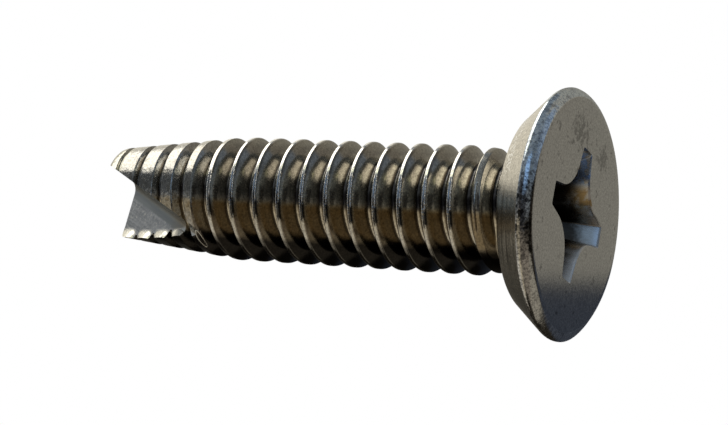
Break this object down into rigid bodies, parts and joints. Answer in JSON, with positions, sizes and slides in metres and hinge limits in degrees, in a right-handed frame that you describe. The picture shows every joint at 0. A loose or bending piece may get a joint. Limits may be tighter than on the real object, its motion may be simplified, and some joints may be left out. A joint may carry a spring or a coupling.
{
  "type": "thread-cutting screw",
  "caption": "Flat countersunk head screw with a cross recess, a coarse right-hand machine thread and a blunt tapered point with a slanted cutting notch.",
  "frame": {"origin": "centre of the flat head face, which the screw stands on", "axes": "+Z along the screw from the head to the point; +X and +Y across it, with the cutting notch climbing out towards -X and -Y"},
  "size_m": [0.0116, 0.0116, 0.0243],
  "materials": {
    "steel": "plain stainless steel: bright rolled thread, satin head face"
  },
  "bodies": {
    "root": {"screw": "steel"}
  },
  "joints": []
}
